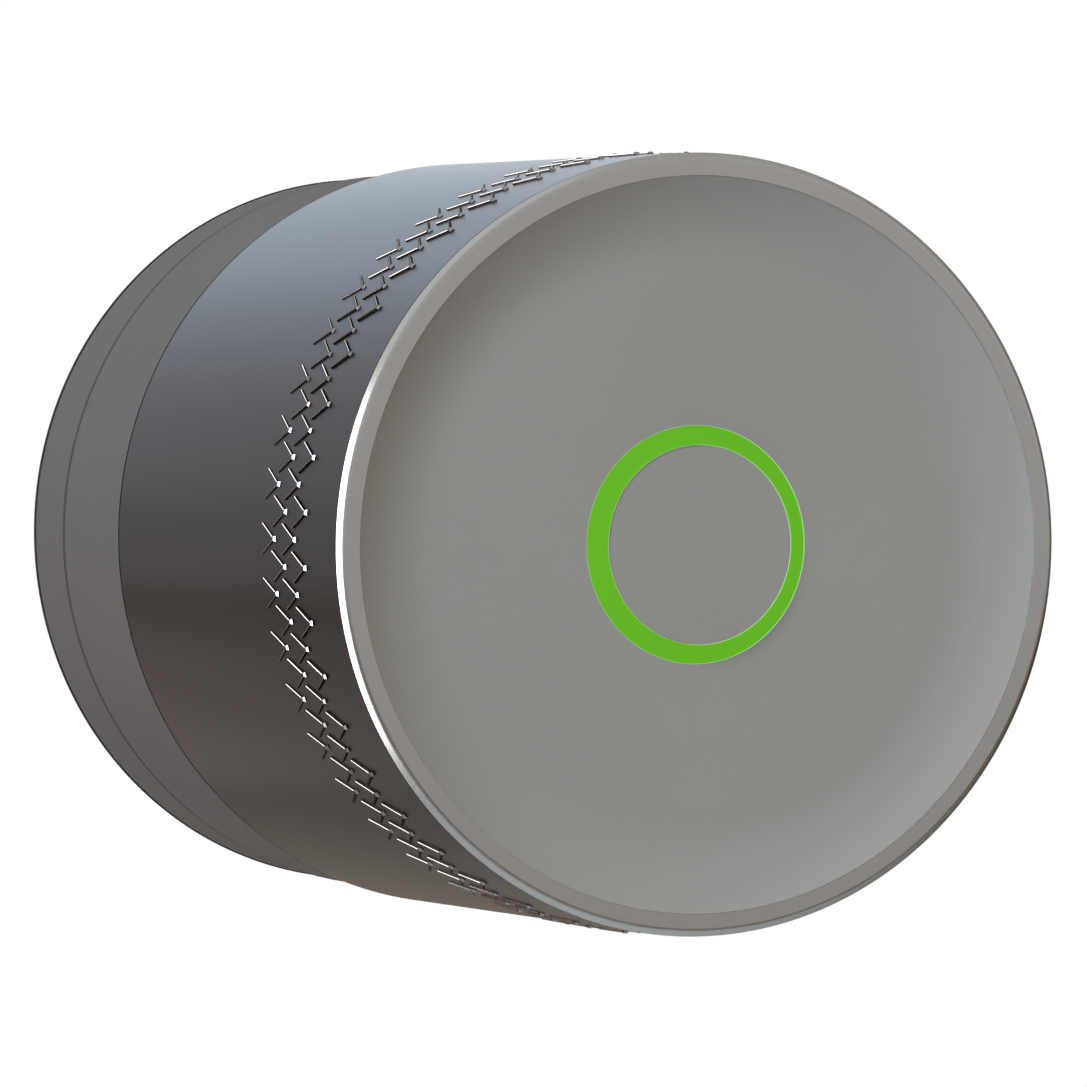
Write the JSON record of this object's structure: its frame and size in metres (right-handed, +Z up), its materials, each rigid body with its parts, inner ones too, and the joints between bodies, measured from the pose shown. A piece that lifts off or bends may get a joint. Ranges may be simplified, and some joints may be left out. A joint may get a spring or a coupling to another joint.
{
  "type": "smart lock",
  "caption": "Round motorised knob lock for the inside of a door, with a dished front, a lit ring round a centre button, chevron grips and a two-step base.",
  "frame": {"origin": "centre of the mounting plate's rear face, on the knob's axis, where the lock meets the door", "axes": "-Y out of the door along the knob's axis, to the lock's front; +Z up; +X to the right seen from the front"},
  "size_m": [0.058, 0.067, 0.058],
  "materials": {
    "base_grey": "matt",
    "sleeve_metal": "satin",
    "front_grey": "fine matt",
    "button_grey": "fine matt",
    "light_green": "translucent, lit green",
    "black_plastic": "matt",
    "white_plastic": "matt",
    "felt": "felt",
    "bearing_plastic": "slightly waxy",
    "screw_steel": "zinc plated",
    "black_steel": "black oxide",
    "gear_steel": "machined",
    "gear_plastic": "moulded",
    "brass": "machined",
    "plate_aluminium": "machined",
    "chassis_grey": "matt, glass filled",
    "motor_metal": "drawn",
    "cell_wrap": "plain shrink sleeve",
    "spring_nickel": "nickel plated",
    "magnet_nickel": "nickel plated",
    "circuit_board": "solder resist",
    "chip_black": "moulded",
    "shield_steel": "tinned",
    "gold": "gold plated",
    "light_lens": "clear resin"
  },
  "bodies": {
    "base": {"mounting_plate": "base_grey", "base_housing": "base_grey", "set_screws": "black_steel", "felt_washer": "felt", "glide_ring": "bearing_plastic", "ring_gear": "gear_plastic", "ring_gear_screws": "screw_steel"},
    "knob": {"journal_plate": "plate_aluminium", "journal_screws": "screw_steel", "drive_hub": "brass", "hub_screws": "screw_steel", "idler_pin": "screw_steel", "motor_plate": "plate_aluminium", "motor_plate_screws": "screw_steel", "gear_motor": "motor_metal", "motor_screws": "screw_steel", "battery_cage": "black_plastic", "cage_screw": "screw_steel", "battery_cells": "cell_wrap", "rear_contacts": "spring_nickel", "chassis": "chassis_grey", "chassis_magnets": "magnet_nickel", "outer_sleeve": "sleeve_metal", "sleeve_screws": "black_steel", "main_board": "circuit_board", "board_chips": "chip_black", "radio_module": "shield_steel", "pin_block": "black_plastic", "contact_pins": "gold"},
    "output_shaft": {"output_gear": "gear_steel", "output_pinion": "gear_steel"},
    "idler": {"idler_gear": "gear_plastic"},
    "motor_rotor": {"motor_pinion": "brass", "motor_shaft": "gear_steel"},
    "cover": {"front_cover": "front_grey", "cover_magnets": "magnet_nickel", "light_guide": "light_green", "button_switch": "chip_black", "front_board": "circuit_board", "front_board_screws": "screw_steel", "indicator_lights": "light_lens", "front_contacts": "spring_nickel"},
    "button": {"center_button": "button_grey"},
    "plunger": {"switch_plunger": "white_plastic"}
  },
  "joints": [
    {"name": "knob_turn", "type": "hinge", "parent": "base", "child": "knob", "pos_m": [0, 0, 0], "axis": [0, -1, 0], "continuous": true},
    {"name": "output_turn", "type": "hinge", "parent": "knob", "child": "output_shaft", "pos_m": [-0.01087, -0.016, 0.01242], "axis": [0, -1, 0], "continuous": true},
    {"name": "idler_turn", "type": "hinge", "parent": "knob", "child": "idler", "pos_m": [-0.00145, -0.018, 0.00905], "axis": [0, -1, 0], "continuous": true},
    {"name": "motor_turn", "type": "hinge", "parent": "knob", "child": "motor_rotor", "pos_m": [0.00905, -0.019, 0.00905], "axis": [0, -1, 0], "continuous": true},
    {"name": "cover_pull", "type": "slide", "parent": "knob", "child": "cover", "axis": [0, -1, 0], "range_m": [0, 0.03]},
    {"name": "button_press", "type": "slide", "parent": "cover", "child": "button", "axis": [0, 1, 0], "range_m": [0, 0.0004], "stiffness_N_per_m": 1500, "springref_m": -0.0006},
    {"name": "switch_press", "type": "slide", "parent": "cover", "child": "plunger", "axis": [0, 1, 0], "range_m": [0, 0.0004]}
  ],
  "couplings": [
    {"joint": "output_turn", "follows": "knob_turn", "ratio": -5.7143},
    {"joint": "idler_turn", "follows": "knob_turn", "ratio": 13.333},
    {"joint": "motor_turn", "follows": "knob_turn", "ratio": -42.667},
    {"joint": "switch_press", "follows": "button_press", "ratio": 1}
  ]
}
